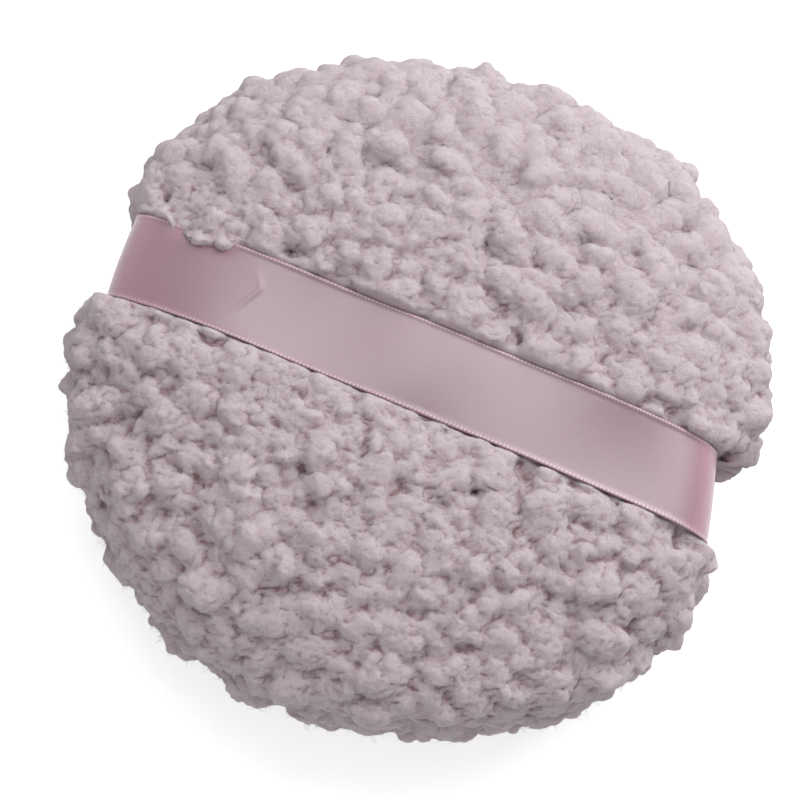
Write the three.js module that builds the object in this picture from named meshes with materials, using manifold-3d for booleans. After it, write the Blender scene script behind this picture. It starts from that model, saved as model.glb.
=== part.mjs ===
// A round powder puff. Two discs of curly pile fabric are sewn edge to edge over a foam disc, and
// a satin ribbon, caught in the edge seam at both ends, crosses one face as a finger strap.
//
// The puff lies on its powder face. The origin is the middle of that face, +Z points up out of
// the ribbon face, and +X runs along the ribbon. Lengths are in millimetres.
//
// Everything is built about the seam, whose plane is height zero, and the whole puff is then
// raised by footDrop, so that its powder face lies on the table.

import * as THREE from 'three';
import { mergeVertices } from 'three/addons/utils/BufferGeometryUtils.js';
import Module from 'manifold-3d';

// Overall sizes
const puffDiameter = 100; // over the curls at the widest line
const crownRise = 18.5; // seam to the top of the curls on the ribbon face
const footDrop = 17; // seam to the table, on the powder face

// Satin ribbon
const ribbonWidth = 12.7;
const ribbonThickness = 0.4;
const selvedgeWidth = 0.8; // woven edge along each side
const selvedgeThickness = 0.6;
const ribbonSink = 2.9; // curl tops to the ribbon's mid surface at the crown
const ribbonWallSink = 4.4; // the same where the ribbon runs down the side
const ribbonBelt = 6; // seam to the ribbon's widest point
const ribbonTuck = 2.4; // how far the ribbon turns in from its widest point to the seam
const ribbonSquareShare = 0.58; // 1 is a round arch, lower is a flatter one with tight shoulders
const tabInset = 0.7; // ribbon end to the cut edge of the seam allowance

// Pile
const pileDepth = 8; // curl tops to the ground cloth at the crown and the foot
const pileWallDepth = 8.4; // curl tops to the ground cloth at the side
const pileBelt = 5.5; // seam to the widest line of each cover
const pileTuck = 2.6; // how far the pile draws in at the seam
const pileSquareShare = 0.8;
const footSquareShare = 0.55; // the powder face is flatter, because the puff lies on it
const footCut = 0.5; // depth of pile pressed flat on the table
const footRadius = 22; // where the curls of the powder face reach their full relief
const curlRelief = 1; // curl tops above the mean surface, and gaps below it
const pressSpread = 5.5; // width over which the pile climbs back beside the ribbon
const pressRaise = 0.8; // pile that stands over the ribbon's mid surface along its edges
const footPinch = 4.6; // how far the ribbon draws the powder cover's edge in

// Ground cloth of each cover
const clothThickness = 1;
const clothBelt = 3.4; // seam to the cloth's widest line
const clothTuck = 1.8; // how far the cloth rolls in to become the seam allowance
const seamAllowance = 6.2;
const seamGap = 0.3; // between the two covers where they meet

// Sewing thread
const threadDiameter = 0.4;
const loopReach = 2.4; // how far each overlock loop runs out over the allowance
const tackLength = 1.4; // radial length of each zigzag of a tack
const closingReach = 1.7; // how far the closing stitches run above and below the seam

// Room left between two pieces that touch
const clearance = 0.3;
// Extra length of a cutting solid past what it cuts
const overrun = 12;

// Counts
const curlRings = 14; // rings of the curl lattice from the pole to the seam
const turnSteps = 36; // sides of the turned pieces
const crownSteps = 7; // steps of their section from the pole to the widest line
const tuckSteps = 3; // steps from there to the seam
const ribbonSteps = 22; // steps of each half of the ribbon's arch
const loopCount = 48;
const tackTurns = 5;
const closingCount = 8;
const threadSides = 6;

// Shares, without a unit
const curlScatterShare = 0.35; // variation of a curl's height
const gapReliefShare = 0.7; // depth of the gaps against the height of the curls
const latticeScatterShare = 0.22; // sideways scatter of a lattice point, against its pitch
const lipFadeShare = 0.84; // where along the section the curls start to fade to the seam
const bedReliefShare = 0.35; // relief left under the ribbon
const crownShare = 0.78; // share of a cover's curve parameter that the crown takes
const footFadeShare = 0.5; // where the powder face's curls start, against footRadius

const closingArc = THREE.MathUtils.degToRad(48); // turning gap, closed by hand
const quarterTurn = Math.PI / 2;
const fullTurn = Math.PI * 2;

const wasm = await Module();
wasm.setup();

// A geometry as a solid that can be cut and joined
function solidOf(geometry) {
  const bare = geometry.clone();
  bare.deleteAttribute('normal');
  bare.deleteAttribute('uv');
  const merged = mergeVertices(bare);
  return new wasm.Manifold(new wasm.Mesh({
    numProp: merged.attributes.position.itemSize,
    vertProperties: merged.attributes.position.array,
    triVerts: new Uint32Array(merged.index.array),
  }));
}

// A cut or joined solid back as a geometry
function geometryOf(solid) {
  const mesh = solid.getMesh();
  const geometry = new THREE.BufferGeometry();
  geometry.setAttribute('position', new THREE.BufferAttribute(mesh.vertProperties, mesh.numProp));
  geometry.setIndex(new THREE.BufferAttribute(mesh.triVerts, 1));
  geometry.computeVertexNormals();
  return geometry;
}

function joined(solids) {
  return solids.reduce((whole, solid) => whole.add(solid));
}

// A cover's section from pole to belt: a squared-off quarter ellipse
function crownPoint({ radius, rise, belt, squareShare }, share) {
  const angle = share * quarterTurn;
  const across = Math.sin(angle) ** squareShare;
  const up = Math.max(0, Math.cos(angle)) ** squareShare;
  return new THREE.Vector2(radius * across, belt + (rise - belt) * up);
}

// A cover's section from belt to seam: a quarter ellipse that turns in under the belt
function tuckPoint({ radius, belt, tuck, floor }, share) {
  const angle = share * quarterTurn;
  const inward = tuck * (1 - Math.cos(angle));
  return new THREE.Vector2(radius - inward, belt - (belt - floor) * Math.sin(angle));
}

// The whole section of a cover as one curve, from the pole out and down to the seam
class CoverSection extends THREE.Curve {
  constructor(shape) {
    super();
    this.shape = shape;
  }

  getPoint(share) {
    if (share < crownShare) return crownPoint(this.shape, share / crownShare);
    return tuckPoint(this.shape, (share - crownShare) / (1 - crownShare));
  }
}

// The points of a section that turned pieces share, so that their facets lie parallel
function crownPoints(shape) {
  return Array.from({ length: crownSteps + 1 }, (_, i) => crownPoint(shape, i / crownSteps));
}

function tuckPoints(shape) {
  return Array.from({ length: tuckSteps }, (_, i) => tuckPoint(shape, (i + 1) / tuckSteps));
}

// Sections. The cloth follows the pile at the pile's depth, and the foam follows the cloth.
const puffRadius = puffDiameter / 2;
const curlPeak = curlRelief * (1 + curlScatterShare);
const lipHeight = seamGap / 2;
const clothRadius = puffRadius - pileWallDepth;
const seamEdgeRadius = clothRadius - clothTuck - seamAllowance; // cut edge of the allowance
const crownPile = {
  radius: puffRadius - curlPeak,
  rise: crownRise - curlPeak,
  belt: pileBelt,
  tuck: pileTuck,
  floor: lipHeight,
  squareShare: pileSquareShare,
};
const footPile = {
  ...crownPile,
  rise: footDrop + footCut,
  squareShare: footSquareShare,
};
const ribbonArch = {
  radius: puffRadius - ribbonWallSink,
  rise: crownRise - ribbonSink,
  belt: ribbonBelt,
  tuck: ribbonTuck,
  floor: 0,
  squareShare: ribbonSquareShare,
};
const crownBed = {
  ...ribbonArch,
  radius: ribbonArch.radius + pressRaise,
  rise: ribbonArch.rise + pressRaise,
  floor: lipHeight,
};
const footBed = {
  ...footPile,
  radius: puffRadius - footPinch,
};
const crownClothOuter = {
  radius: clothRadius,
  rise: crownRise - pileDepth,
  belt: clothBelt,
  tuck: clothTuck,
  floor: lipHeight,
  squareShare: pileSquareShare,
};
const footClothOuter = {
  ...crownClothOuter,
  rise: footDrop - pileDepth,
};

// The same section moved inwards by a thickness, or outwards by a negative one
function inset(shape, thickness) {
  return {
    ...shape,
    radius: shape.radius - thickness,
    rise: shape.rise - thickness,
    floor: shape.floor + thickness,
  };
}

// The curl lattice is a hexagonal one bent into rings: ring k has 6k points. One point in three
// is a curl's top, and its six neighbours are the gaps round it.
const hexSteps = [[1, 0], [0, 1], [-1, 1], [-1, 0], [0, -1], [1, -1]];
const scatterKinds = 3; // along the section, round the puff, and in height

// A repeatable scatter between -1 and 1 for one point of the curl lattice
function scatter(ring, index, kind) {
  const point = ring * curlRings * hexSteps.length + index;
  return 2 * THREE.MathUtils.seededRandom(point * scatterKinds + kind) - 1;
}

function isCurlTop(ring, index) {
  if (ring === 0) return true;
  const sextant = Math.floor(index / ring);
  const along = index % ring;
  const corner = hexSteps[sextant];
  const side = hexSteps[(sextant + 2) % 6];
  const difference = ring * (corner[0] - corner[1]) + along * (side[0] - side[1]);
  return difference % 3 === 0;
}

// How strongly the ribbon presses the pile, from 1 under it to 0 out on the open face
function pressAt(across) {
  const edge = ribbonWidth / 2;
  return 1 - THREE.MathUtils.smoothstep(Math.abs(across), edge, edge + pressSpread);
}

// The outside of one cover's pile, as rings of points from the pole to the seam
function curlSurface(openShape, bedShape, footFade) {
  const open = new CoverSection(openShape);
  const bed = new CoverSection(bedShape);
  const rings = [];
  for (let ring = 0; ring <= curlRings; ring++) {
    const count = Math.max(1, ring * hexSteps.length);
    const inner = ring > 0 && ring < curlRings ? latticeScatterShare : 0;
    rings.push(Array.from({ length: count }, (_, index) => {
      const share = (ring + inner * scatter(ring, index, 1)) / curlRings;
      const angle = fullTurn * (index + inner * scatter(ring, index, 2)) / count;
      const [openAt, bedAt] = [open.getPointAt(share), bed.getPointAt(share)];
      const tangent = open.getTangentAt(share);
      const press = pressAt(openAt.x * Math.sin(angle));
      const spot = openAt.clone().lerp(bedAt, press);
      const fade = (1 - THREE.MathUtils.smoothstep(share, lipFadeShare, 1))
        * THREE.MathUtils.lerp(1, bedReliefShare, press) * footFade(openAt.x);
      const height = (isCurlTop(ring, index) ? 1 : -gapReliefShare)
        * (1 + curlScatterShare * scatter(ring, index, 0));
      const relief = curlRelief * height * fade;
      spot.x = Math.max(0, spot.x - tangent.y * relief * Math.sign(ring));
      spot.y += tangent.x * relief;
      return new THREE.Vector3(spot.x * Math.cos(angle), spot.x * Math.sin(angle), spot.y);
    }));
  }
  return rings;
}

// A ring of points at one radius and height
function ringAt({ x, y }) {
  if (x === 0) return [new THREE.Vector3(0, 0, y)];
  return Array.from({ length: turnSteps }, (_, index) => {
    const angle = fullTurn * index / turnSteps;
    return new THREE.Vector3(x * Math.cos(angle), x * Math.sin(angle), y);
  });
}

// A closed geometry from rings of points, from the outer pole round to the inner one.
// Neighbouring rings may differ in count: each step takes the ring whose next point comes first.
function skinOf(rings) {
  const points = rings.flat();
  const faces = [];
  let start = 0;
  for (let k = 0; k + 1 < rings.length; k++) {
    const [near, far] = [rings[k].length, rings[k + 1].length];
    const [nearStart, farStart] = [start, start + near];
    for (let i = 0, j = 0; (near > 1 && i < near) || (far > 1 && j < far);) {
      const nearDone = near === 1 || i === near;
      const farNext = far > 1 && j < far && (nearDone || (j + 1) / far <= (i + 1) / near);
      const [a, b] = [nearStart + i % near, farStart + j % far];
      if (farNext) j++;
      else i++;
      faces.push(a, b, farNext ? farStart + j % far : nearStart + i % near);
    }
    start = farStart;
  }
  const geometry = new THREE.BufferGeometry().setFromPoints(points);
  geometry.setIndex(faces);
  return geometry;
}

// Turns a cover that was built above the seam into one below it
function belowSeam(geometry) {
  const turned = geometry.clone();
  turned.scale(1, 1, -1);
  const index = turned.index.array;
  for (let i = 0; i < index.length; i += 3) [index[i], index[i + 1]] = [index[i + 1], index[i]];
  return turned;
}

// The pile of one cover: curls outside, and inside a hollow that fits over the ground cloth,
// with a shallow groove at the seam for the closing stitches
function pileCover(openShape, bedShape, clothShape, footFade) {
  const hollow = crownPoints(inset(clothShape, -clearance));
  const grooveRadius = clothShape.radius + threadDiameter + 2 * clearance;
  const grooveTop = hollow[crownSteps].y + clearance;
  const seamEdge = [
    new THREE.Vector2(grooveRadius, lipHeight),
    new THREE.Vector2(grooveRadius, grooveTop),
  ];
  const inside = hollow.filter((point) => point.y > grooveTop).reverse();
  const throat = new THREE.Vector2(hollow[crownSteps].x, grooveTop);
  const rings = [
    ...curlSurface(openShape, bedShape, footFade),
    ...[...seamEdge, throat, ...inside].map(ringAt),
  ];
  return skinOf(rings);
}

// The ribbon's mid line in the XZ plane, from one end in the seam allowance to the other
function ribbonLine() {
  const arch = new CoverSection(ribbonArch).getSpacedPoints(ribbonSteps);
  const half = [...arch, new THREE.Vector2(seamEdgeRadius + tabInset, 0)];
  const mirrored = half.slice(1).reverse().map((point) => new THREE.Vector2(-point.x, point.y));
  return [...mirrored, ...half];
}

// A line of points moved sideways by a distance, to the left of its direction
function offsetLine(line, distance) {
  return line.map((point, i) => {
    const before = line[Math.max(0, i - 1)];
    const after = line[Math.min(line.length - 1, i + 1)];
    const into = point.clone().sub(before).normalize();
    const out = after.clone().sub(point).normalize();
    const direction = into.add(out).normalize();
    return point.clone().add(new THREE.Vector2(-direction.y, direction.x).multiplyScalar(distance));
  });
}

function extruded(outline, depth) {
  return new THREE.ExtrudeGeometry(new THREE.Shape(outline), { depth, bevelEnabled: false });
}

// A flat outline in the XZ plane, extruded across the puff to a width centred on a place
function acrossPuff(outline, width, place = 0) {
  const geometry = extruded(outline, width);
  geometry.rotateX(quarterTurn);
  geometry.translate(0, place + width / 2, 0);
  return solidOf(geometry);
}

// A band that follows the ribbon's line at a thickness
function bandAlong(line, thickness, width, place) {
  const outline = [...offsetLine(line, thickness / 2).reverse(), ...offsetLine(line, -thickness / 2)];
  return acrossPuff(outline, width, place);
}

const strapLine = ribbonLine();

// The satin ribbon, with a thicker woven edge along each side
function ribbon() {
  const edgePlace = (ribbonWidth - selvedgeWidth) / 2;
  return bandAlong(strapLine, ribbonThickness, ribbonWidth - selvedgeWidth)
    .add(bandAlong(strapLine, selvedgeThickness, selvedgeWidth, edgePlace))
    .add(bandAlong(strapLine, selvedgeThickness, selvedgeWidth, -edgePlace));
}

// The space that the ribbon needs round it, past its cut ends too
function ribbonRoom() {
  const last = strapLine.length - 1;
  const line = strapLine.map((point, i) => {
    const end = i === 0 || i === last;
    return end ? new THREE.Vector2(point.x - Math.sign(point.x) * clearance, point.y) : point;
  });
  return bandAlong(line, selvedgeThickness + 2 * clearance, ribbonWidth + 2 * clearance);
}

// All that lies above the ribbon's underside, which pulls the pile down into its bed
function aboveRibbon() {
  const under = offsetLine(strapLine, -(selvedgeThickness / 2 + clearance));
  const arch = under.filter((point) => point.y > -selvedgeThickness / 2);
  const reach = puffRadius + overrun;
  const outline = [
    new THREE.Vector2(-reach, 0),
    ...arch,
    new THREE.Vector2(reach, 0),
    new THREE.Vector2(reach, crownRise + overrun),
    new THREE.Vector2(-reach, crownRise + overrun),
  ];
  return acrossPuff(outline, ribbonWidth + 2 * clearance);
}

// The ribbon face's pile, with the ribbon's bed pressed into it
function crownPileBody() {
  const cover = solidOf(pileCover(crownPile, crownBed, crownClothOuter, () => 1));
  return cover.subtract(aboveRibbon()).subtract(ribbonRoom());
}

// The powder face's pile, cut flat where it lies on the table
function footPileBody() {
  const fade = (radius) => THREE.MathUtils.smoothstep(radius, footRadius * footFadeShare, footRadius);
  const cover = solidOf(belowSeam(pileCover(footPile, footBed, footClothOuter, fade)));
  const table = new THREE.BoxGeometry(puffDiameter + overrun, puffDiameter + overrun, overrun);
  table.translate(0, 0, -footDrop - overrun / 2);
  return cover.subtract(solidOf(table)).subtract(ribbonRoom());
}

// A turned solid from a closed section, with its axis upright
function turned(section) {
  const geometry = new THREE.LatheGeometry(section, turnSteps);
  geometry.rotateX(quarterTurn);
  return geometry;
}

// The knitted ground cloth of one cover: a dome that rolls in at its edge to a flat allowance
function clothDome(outerShape) {
  const innerShape = inset(outerShape, clothThickness);
  const outer = [...crownPoints(outerShape), ...tuckPoints(outerShape)];
  const inner = [...crownPoints(innerShape), ...tuckPoints(innerShape)];
  const section = [
    ...outer,
    new THREE.Vector2(seamEdgeRadius, outerShape.floor),
    new THREE.Vector2(seamEdgeRadius, innerShape.floor),
    ...inner.reverse(),
  ];
  return turned(section.reverse());
}

function crownCloth() {
  return solidOf(clothDome(crownClothOuter)).subtract(ribbonRoom());
}

function footCloth() {
  return solidOf(belowSeam(clothDome(footClothOuter))).subtract(ribbonRoom());
}

// The foam disc fills both domes, and the seam allowance digs a groove into its rim
function foamCore() {
  const grooveHalf = lipHeight + clothThickness + 2 * clearance + threadDiameter;
  const grooveRadius = seamEdgeRadius - 2 * clearance - threadDiameter;
  const half = (clothShape) => {
    const dome = crownPoints(inset(clothShape, clothThickness + clearance));
    const rimRadius = dome[crownSteps].x - clothTuck / 2;
    return [
      ...dome,
      new THREE.Vector2(rimRadius, grooveHalf),
      new THREE.Vector2(grooveRadius, grooveHalf),
    ];
  };
  const lower = half(footClothOuter).map((point) => new THREE.Vector2(point.x, -point.y));
  return turned([...lower, ...half(crownClothOuter).reverse()]);
}

// One overlock loop: a bracket of thread round the cut edges of both allowances
function overlockLoop() {
  const reachHeight = lipHeight + clothThickness + clearance;
  const [inX, outX] = [seamEdgeRadius - clearance, seamEdgeRadius + loopReach];
  const outline = [
    new THREE.Vector2(outX, -reachHeight - threadDiameter),
    new THREE.Vector2(outX, -reachHeight),
    new THREE.Vector2(inX, -reachHeight),
    new THREE.Vector2(inX, reachHeight),
    new THREE.Vector2(outX, reachHeight),
    new THREE.Vector2(outX, reachHeight + threadDiameter),
    new THREE.Vector2(inX - threadDiameter, reachHeight + threadDiameter),
    new THREE.Vector2(inX - threadDiameter, -reachHeight - threadDiameter),
  ];
  return acrossPuff(outline, threadDiameter);
}

// The overlock runs all round the seam, apart from the turning gap on the +Y side. A chain of
// thread along the cut edge links its loops.
function overlockStitches() {
  const loop = overlockLoop();
  const arc = fullTurn - closingArc;
  const angles = Array.from({ length: loopCount }, (_, i) => (
    quarterTurn + closingArc / 2 + arc * (i + 1 / 2) / loopCount));
  const outer = seamEdgeRadius - clearance - threadDiameter / 4;
  const inner = outer - threadDiameter;
  const at = (radius, angle) => new THREE.Vector2(radius * Math.cos(angle), radius * Math.sin(angle));
  const chainOutline = [
    ...angles.map((angle) => at(outer, angle)),
    ...angles.map((angle) => at(inner, angle)).reverse(),
  ];
  const chain = extruded(chainOutline, threadDiameter).translate(0, 0, -threadDiameter / 2);
  const loops = angles.map((angle) => loop.rotate([0, 0, THREE.MathUtils.radToDeg(angle)]));
  return joined([solidOf(chain), ...loops]);
}

const cylinderAxis = new THREE.Vector3(0, 1, 0);

// A thread through a list of points
function threadRun(points) {
  const radius = threadDiameter / 2;
  const bars = points.slice(1).map((end, i) => {
    const run = end.clone().sub(points[i]);
    const bar = new THREE.CylinderGeometry(radius, radius, run.length() + threadDiameter, threadSides);
    const direction = run.clone().normalize();
    bar.applyQuaternion(new THREE.Quaternion().setFromUnitVectors(cylinderAxis, direction));
    const middle = points[i].clone().lerp(end, 1 / 2);
    return solidOf(bar.translate(middle.x, middle.y, middle.z));
  });
  return joined(bars);
}

// The zigzag tack that holds one end of the ribbon to the upper allowance
function ribbonTack(side) {
  const height = lipHeight + clothThickness + clearance + threadDiameter / 2;
  const near = seamEdgeRadius + loopReach + clearance + threadDiameter;
  const pitch = (ribbonWidth - 2 * selvedgeWidth) / tackTurns;
  return threadRun(Array.from({ length: tackTurns + 1 }, (_, i) => {
    const radius = near + (i % 2) * tackLength;
    return new THREE.Vector3(side * radius, (i - tackTurns / 2) * pitch, height);
  }));
}

// The ladder stitches that close the turning gap by hand. The thread runs along one cover,
// crosses the seam, runs along the other and crosses back.
function closingStitches() {
  const radius = clothRadius + clearance + threadDiameter / 2;
  return threadRun(Array.from({ length: 2 * closingCount }, (_, i) => {
    const rung = Math.floor(i / 2);
    const angle = quarterTurn + closingArc * ((rung + 1 / 2) / closingCount - 1 / 2);
    const height = (rung + i) % 2 ? closingReach : -closingReach;
    return new THREE.Vector3(radius * Math.cos(angle), radius * Math.sin(angle), height);
  }));
}

// Finishes
const finish = (color, roughness) => new THREE.MeshStandardMaterial({ color, roughness, metalness: 0 });
const pileFibre = finish('#d8ccd2', 0.95);
const groundKnit = finish('#e3d5db', 0.9);
const satin = finish('#dcbcc8', 0.35);
const foam = finish('#f4efe6', 1);
const thread = finish('#ecd9e0', 0.6);

function piece(name, geometry, material) {
  const mesh = new THREE.Mesh(geometry, material);
  mesh.name = name;
  return mesh;
}

const puff = new THREE.Group();
puff.position.z = footDrop;
puff.add(
  piece('top_pile', geometryOf(crownPileBody()), pileFibre),
  piece('bottom_pile', geometryOf(footPileBody()), pileFibre),
  piece('top_cloth', geometryOf(crownCloth()), groundKnit),
  piece('bottom_cloth', geometryOf(footCloth()), groundKnit),
  piece('foam_core', foamCore(), foam),
  piece('ribbon_strap', geometryOf(ribbon()), satin),
  piece('left_ribbon_tack', geometryOf(ribbonTack(-1)), thread),
  piece('right_ribbon_tack', geometryOf(ribbonTack(1)), thread),
  piece('overlock_stitches', geometryOf(overlockStitches()), thread),
  piece('closing_stitches', geometryOf(closingStitches()), thread),
);

export default puff;
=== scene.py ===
"""A curly powder puff with a satin ribbon strap, dressed over its fixed construction.

Lengths are in metres. The puff lies on its powder face, +Z points up out of the ribbon face and
+X runs along the ribbon. Shapes are built about the seam, whose plane is height zero there, and
raised by SEAM_Z when they become objects. The foot is the half under the seam.
"""
import math

import bmesh
import bpy
import numpy as np
from bpy.props import FloatProperty, FloatVectorProperty, IntProperty, PointerProperty
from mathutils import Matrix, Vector
from mathutils.bvhtree import BVHTree


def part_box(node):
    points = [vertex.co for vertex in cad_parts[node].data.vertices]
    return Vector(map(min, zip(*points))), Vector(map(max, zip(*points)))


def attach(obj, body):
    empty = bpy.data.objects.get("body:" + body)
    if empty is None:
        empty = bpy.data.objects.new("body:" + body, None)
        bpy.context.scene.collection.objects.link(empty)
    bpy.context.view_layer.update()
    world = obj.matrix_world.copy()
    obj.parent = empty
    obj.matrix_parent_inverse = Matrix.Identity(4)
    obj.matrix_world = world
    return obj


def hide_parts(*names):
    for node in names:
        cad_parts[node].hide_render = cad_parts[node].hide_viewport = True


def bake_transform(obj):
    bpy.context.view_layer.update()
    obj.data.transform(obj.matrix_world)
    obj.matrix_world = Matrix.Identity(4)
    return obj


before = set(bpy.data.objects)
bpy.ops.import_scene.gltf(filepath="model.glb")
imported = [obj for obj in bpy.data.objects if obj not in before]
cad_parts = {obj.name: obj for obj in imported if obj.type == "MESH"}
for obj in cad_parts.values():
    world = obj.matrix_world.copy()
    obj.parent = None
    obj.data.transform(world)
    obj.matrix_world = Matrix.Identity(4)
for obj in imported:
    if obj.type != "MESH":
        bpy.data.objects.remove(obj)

bl_info = {
    "name": "Curly powder puff",
    "version": (1, 0, 0),
    "blender": (4, 5, 0),
    "location": "View3D > Sidebar > Puff",
    "description": "Dresses a powder puff with curly pile, a satin ribbon and its sewing",
    "category": "Add Mesh",
}

MM = 0.001
QUARTER = math.pi / 2
TURN = 2 * math.pi
GOLDEN_TURN = math.pi * (3 - math.sqrt(5))

# The construction's boxes, which give the dressing its places
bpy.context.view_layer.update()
TOP_LOW, TOP_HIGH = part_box("top_pile")
FOOT_LOW, FOOT_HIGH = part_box("bottom_pile")
RIBBON_LOW, RIBBON_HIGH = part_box("ribbon_strap")
CLOTH_LOW, CLOTH_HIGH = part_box("top_cloth")
FOOT_CLOTH_LOW, FOOT_CLOTH_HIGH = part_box("bottom_cloth")
FOAM_LOW, FOAM_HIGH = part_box("foam_core")
OVERLOCK_LOW, OVERLOCK_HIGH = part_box("overlock_stitches")
TACK_LOW, TACK_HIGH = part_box("right_ribbon_tack")
CLOSING_LOW, CLOSING_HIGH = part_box("closing_stitches")

SEAM_Z = (TOP_LOW.z + FOOT_HIGH.z) / 2
PUFF_RADIUS = (TOP_HIGH.y - TOP_LOW.y) / 2
CROWN_RISE = TOP_HIGH.z - SEAM_Z
FOOT_DROP = SEAM_Z - FOOT_LOW.z
RIBBON_HALF = (RIBBON_HIGH.y - RIBBON_LOW.y) / 2
# The ribbon's line runs inside its box
RIBBON_INSET = 0.3 * MM
RIBBON_RADIUS = (RIBBON_HIGH.x - RIBBON_LOW.x) / 2 - RIBBON_INSET
RIBBON_RISE = RIBBON_HIGH.z - SEAM_Z - RIBBON_INSET
CLOTH_RADIUS = (CLOTH_HIGH.x - CLOTH_LOW.x) / 2
# The allowances' inner edge, and from there the overlock's middle and half its width
OVERLOCK_REACH, OVERLOCK_MIDDLE, OVERLOCK_HALF = 2.4 * MM, 0.75 * MM, 1.45 * MM
SEAM_EDGE = (OVERLOCK_HIGH.x - OVERLOCK_LOW.x) / 2 - OVERLOCK_REACH
CLOSING_RADIUS = CLOTH_RADIUS + 0.5 * MM


# Settings

def length_property(name, description, default, least):
    """A length, from millimetres."""
    return FloatProperty(name=name, description=description, default=default * MM,
                         min=least * MM, unit="LENGTH")


def count_property(name, description, default, least):
    return IntProperty(name=name, description=description, default=default, min=least)


def power_property(name, description, default):
    return FloatProperty(name=name, description=description, default=default, unit="POWER")


def colour_property(name, description, *default):
    return FloatVectorProperty(name=name, description=description, default=default,
                               subtype="COLOR")


class PileSettings(bpy.types.PropertyGroup):
    """Sizes and colours of the curly pile."""
    curl_size: length_property("Curl size", "Mean radius of one curl", 2.75, 1.5)
    packing: FloatProperty(
        name="Packing", description="Distance of two curls against the sum of their radii",
        default=0.78, min=0.5, max=1.2)
    detail: length_property("Detail", "Size of the pile's smallest detail", 0.38, 0.2)
    tuft: length_property("Tuft size", "Width of one small tuft on a curl", 2.3, 0.5)
    stray_count: count_property("Stray fibres", "Number of loose fibres on each face", 6500, 1)
    curl_colour: colour_property("Curl colour", "Colour of the curls' tops", 0.77, 0.655, 0.705)
    # The gap colour is painted shade: the darker, pinker colour laid deep between the curls
    gap_shade_colour: colour_property("Gap colour", "Colour deep between the curls",
                                0.44, 0.235, 0.265)


class RibbonSettings(bpy.types.PropertyGroup):
    """Sizes and colours of the satin ribbon."""
    thickness: length_property("Thickness", "Thickness of the satin", 0.26, 0.1)
    selvedge: length_property("Edge width", "Width of the woven edge", 0.52, 0.2)
    loop_pitch: length_property("Edge pitch", "Length of one loop of the woven edge", 0.57, 0.3)
    # The facing and slant colours are painted sheen: the satin's colour changes with the view
    # angle in place of its directional reflection
    facing_sheen_colour: colour_property("Satin colour", "Colour of the satin from straight above",
                                  0.19, 0.095, 0.13)
    slant_sheen_colour: colour_property("Slant colour", "Colour of the satin seen at a slant",
                                  0.34, 0.165, 0.21)
    loop_colour: colour_property("Edge colour", "Colour of the woven edge's loops",
                                 0.47, 0.31, 0.36)


class FillingSettings(bpy.types.PropertyGroup):
    """Sizes and colours of the ground cloths and the foam inside."""
    cloth_thickness: length_property("Cloth thickness", "Thickness of the ground cloth", 0.7, 0.3)
    knit_pitch: length_property("Stitch width", "Width of a stitch of the ground cloth", 0.9, 0.4)
    cell_size: length_property("Foam cell", "Size of the foam's open cells", 0.7, 0.2)
    cloth_colour: colour_property("Cloth colour", "Colour of the ground cloth", 0.55, 0.41, 0.47)
    foam_colour: colour_property("Foam colour", "Colour of the foam", 0.79, 0.72, 0.61)


class SewingSettings(bpy.types.PropertyGroup):
    """Sizes and colour of the sewing thread."""
    thread: length_property("Thread", "Thickness of the sewing thread", 0.36, 0.1)
    overlock_count: count_property("Overlock loops", "Number of loops round the seam", 48, 12)
    tack_turns: count_property("Tack turns", "Zigzags of each ribbon tack", 5, 2)
    closing_count: count_property("Closing stitches", "Stitches of the turning gap", 8, 2)
    thread_colour: colour_property("Thread colour", "Colour of the thread", 0.66, 0.48, 0.54)


class StageSettings(bpy.types.PropertyGroup):
    """Light and ground of the picture."""
    key_power: power_property("Soft box", "Power of the large soft lamp", 1.52)
    top_power: power_property("Top light", "Power of the lamp high over the far side", 0.36)
    rim_power: power_property("Rim light", "Power of the low lamp at the near side", 0.26)
    sky_strength: FloatProperty(
        name="Sky", description="Strength of the light from all round", default=0.45)
    ground_colour: colour_property("Ground", "Colour of the floor", 0.82, 0.82, 0.82)


# Meshes and arrays

def new_object(name, vertices, *face_arrays, smooth=True):
    """An object at the origin from (n, 3) points and arrays of faces with equal corner counts.

    Faces are turned outwards: the volume sum(a . (b x c)) / 6 comes out positive.
    """
    vertices = np.asarray(vertices, np.float32)
    corners = np.concatenate([np.asarray(faces, np.int32).ravel() for faces in face_arrays])
    counts = np.concatenate([np.full(len(faces), np.shape(faces)[1]) for faces in face_arrays])
    mesh = bpy.data.meshes.new(name)
    mesh.vertices.add(len(vertices))
    mesh.vertices.foreach_set("co", vertices.ravel())
    mesh.loops.add(len(corners))
    mesh.loops.foreach_set("vertex_index", corners)
    mesh.polygons.add(len(counts))
    starts = np.concatenate([[0], np.cumsum(counts)[:-1]]).astype(np.int32)
    mesh.polygons.foreach_set("loop_start", starts)
    mesh.update(calc_edges=True)
    mesh.validate()
    a, b, c = np.moveaxis(vertex_array(mesh)[triangle_array(mesh)], 1, 0)
    if (a * np.cross(b, c)).sum() < 0:
        mesh.flip_normals()
    if smooth:
        mesh.shade_smooth()
    obj = bpy.data.objects.new(name, mesh)
    bpy.context.scene.collection.objects.link(obj)
    return obj


def read_array(items, key, width, kind=np.float32):
    """One attribute of all of a mesh's items, as (n, width)."""
    values = np.empty(len(items) * width, kind)
    items.foreach_get(key, values)
    return values.reshape(-1, width)


def vertex_array(mesh):
    return read_array(mesh.vertices, "co", 3).astype(float)


def triangle_array(mesh):
    mesh.calc_loop_triangles()
    return read_array(mesh.loop_triangles, "vertices", 3, np.int32)


def normal_array(mesh):
    return read_array(mesh.vertex_normals, "vector", 3).astype(float)


def set_vertices(mesh, points):
    mesh.vertices.foreach_set("co", points.astype(np.float32).ravel())
    mesh.update()


def set_attribute(mesh, name, values):
    attribute = mesh.attributes.new(name, "FLOAT", "POINT")
    attribute.data.foreach_set("value", np.asarray(values, np.float32).ravel())


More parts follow.
